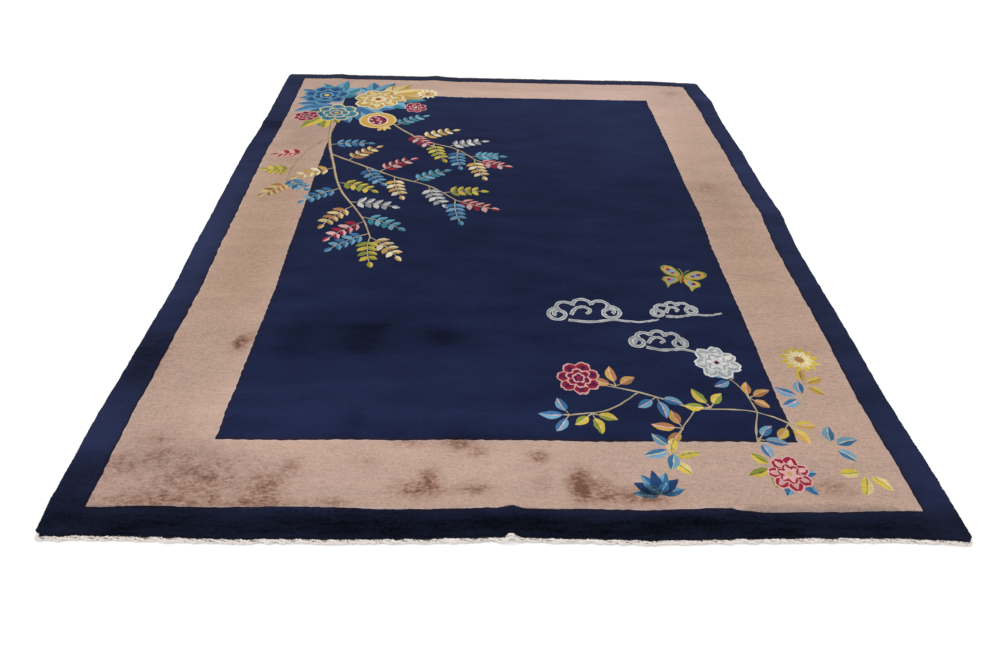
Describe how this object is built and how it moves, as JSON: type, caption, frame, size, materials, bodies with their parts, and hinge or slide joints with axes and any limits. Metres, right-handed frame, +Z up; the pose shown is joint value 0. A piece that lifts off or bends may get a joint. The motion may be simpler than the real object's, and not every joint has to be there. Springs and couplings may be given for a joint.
{
  "type": "peking rug",
  "caption": "Room-sized hand-knotted wool rug lying flat, with a navy field, tan border, navy edge, floral corner designs and plaited cotton ends.",
  "frame": {"origin": "on the floor under the middle of the rug with its end webs", "axes": "+Z up out of the pile, +Y along the rug towards its far end, +X across it to the right as seen from the near end"},
  "size_m": [2.764, 3.7048, 0.0289],
  "materials": {
    "wool_pile": "clipped wool pile, matt with a soft sheen, navy with a tan border",
    "cotton_warp": "undyed plaited cotton, matt"
  },
  "bodies": {
    "root": {"rug": "wool_pile", "near_end_web": "cotton_warp", "far_end_web": "cotton_warp"}
  },
  "joints": []
}
